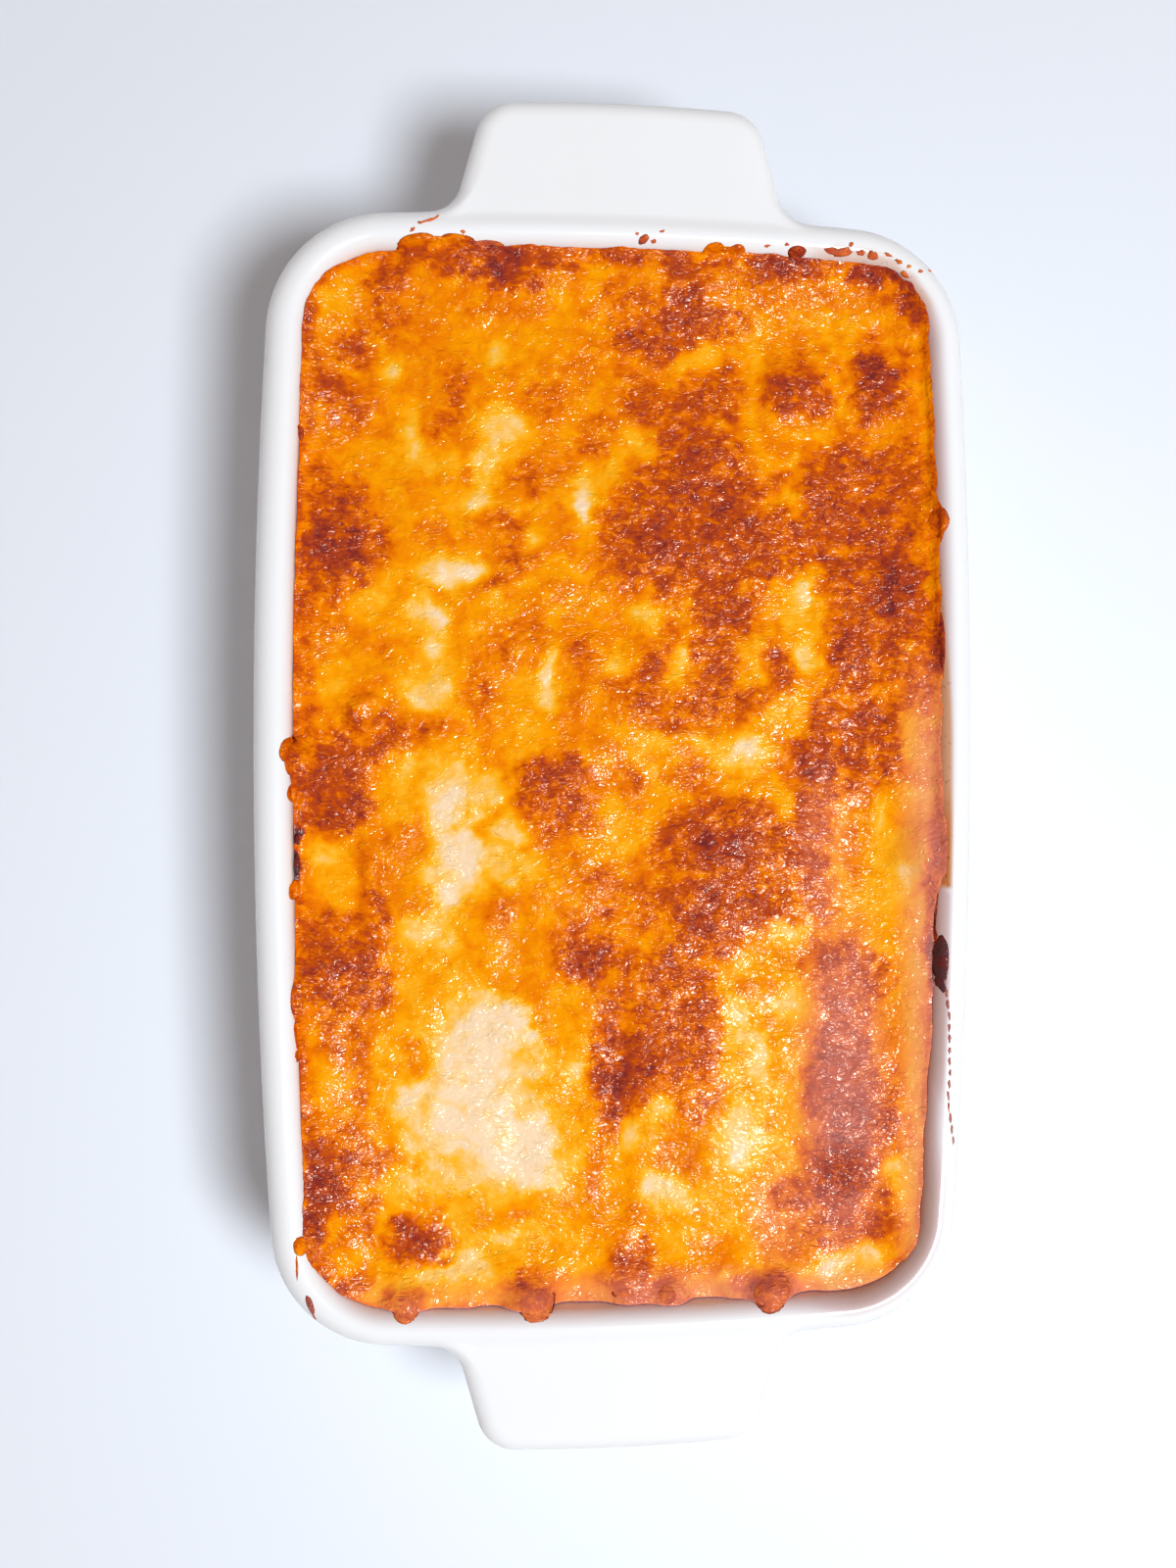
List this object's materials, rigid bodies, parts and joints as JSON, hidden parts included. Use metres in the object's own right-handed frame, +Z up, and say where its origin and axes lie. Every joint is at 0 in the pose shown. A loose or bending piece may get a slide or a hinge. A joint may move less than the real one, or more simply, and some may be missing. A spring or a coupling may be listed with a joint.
{
  "type": "lasagna in dish",
  "caption": "Deep rectangular white glazed baking dish with a tab handle at each end, filled with a whole baked lasagna under browned cheese.",
  "frame": {"origin": "on the table under the middle of the dish, at the middle of its box", "axes": "+X across the dish, +Y along it towards the far handle, +Z up"},
  "size_m": [0.192, 0.357, 0.06],
  "materials": {
    "glazed_dish": "clear gloss glaze over white stoneware",
    "baked_cheese": null
  },
  "bodies": {
    "root": {"baking_dish": "glazed_dish", "lasagna": "baked_cheese"}
  },
  "joints": []
}
